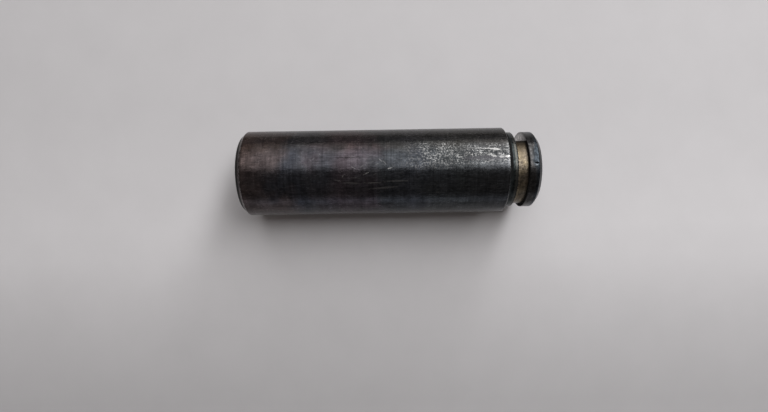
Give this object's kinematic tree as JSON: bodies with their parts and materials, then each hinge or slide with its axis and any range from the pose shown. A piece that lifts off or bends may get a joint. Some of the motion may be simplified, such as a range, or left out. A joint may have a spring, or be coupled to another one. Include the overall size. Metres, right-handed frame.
{
  "type": "brake shoe pin",
  "caption": "Turned steel pivot pin for a brake shoe: a straight ground shank with a chamfered lead end, a stepped collar, and a disc head behind a lock plate groove that is milled flat on one side.",
  "frame": {"origin": "centre of the plain end face that the pin stands on", "axes": "+Z along the pin's axis, from the plain chamfered end towards the grooved head; -X is the side of the lock flat"},
  "size_m": [0.028, 0.028, 0.0962],
  "materials": {
    "oxidised_steel": "black oxide over ground steel, worn bright along the edges and brassy in the groove"
  },
  "bodies": {
    "root": {"brake_shoe_pin": "oxidised_steel"}
  },
  "joints": []
}
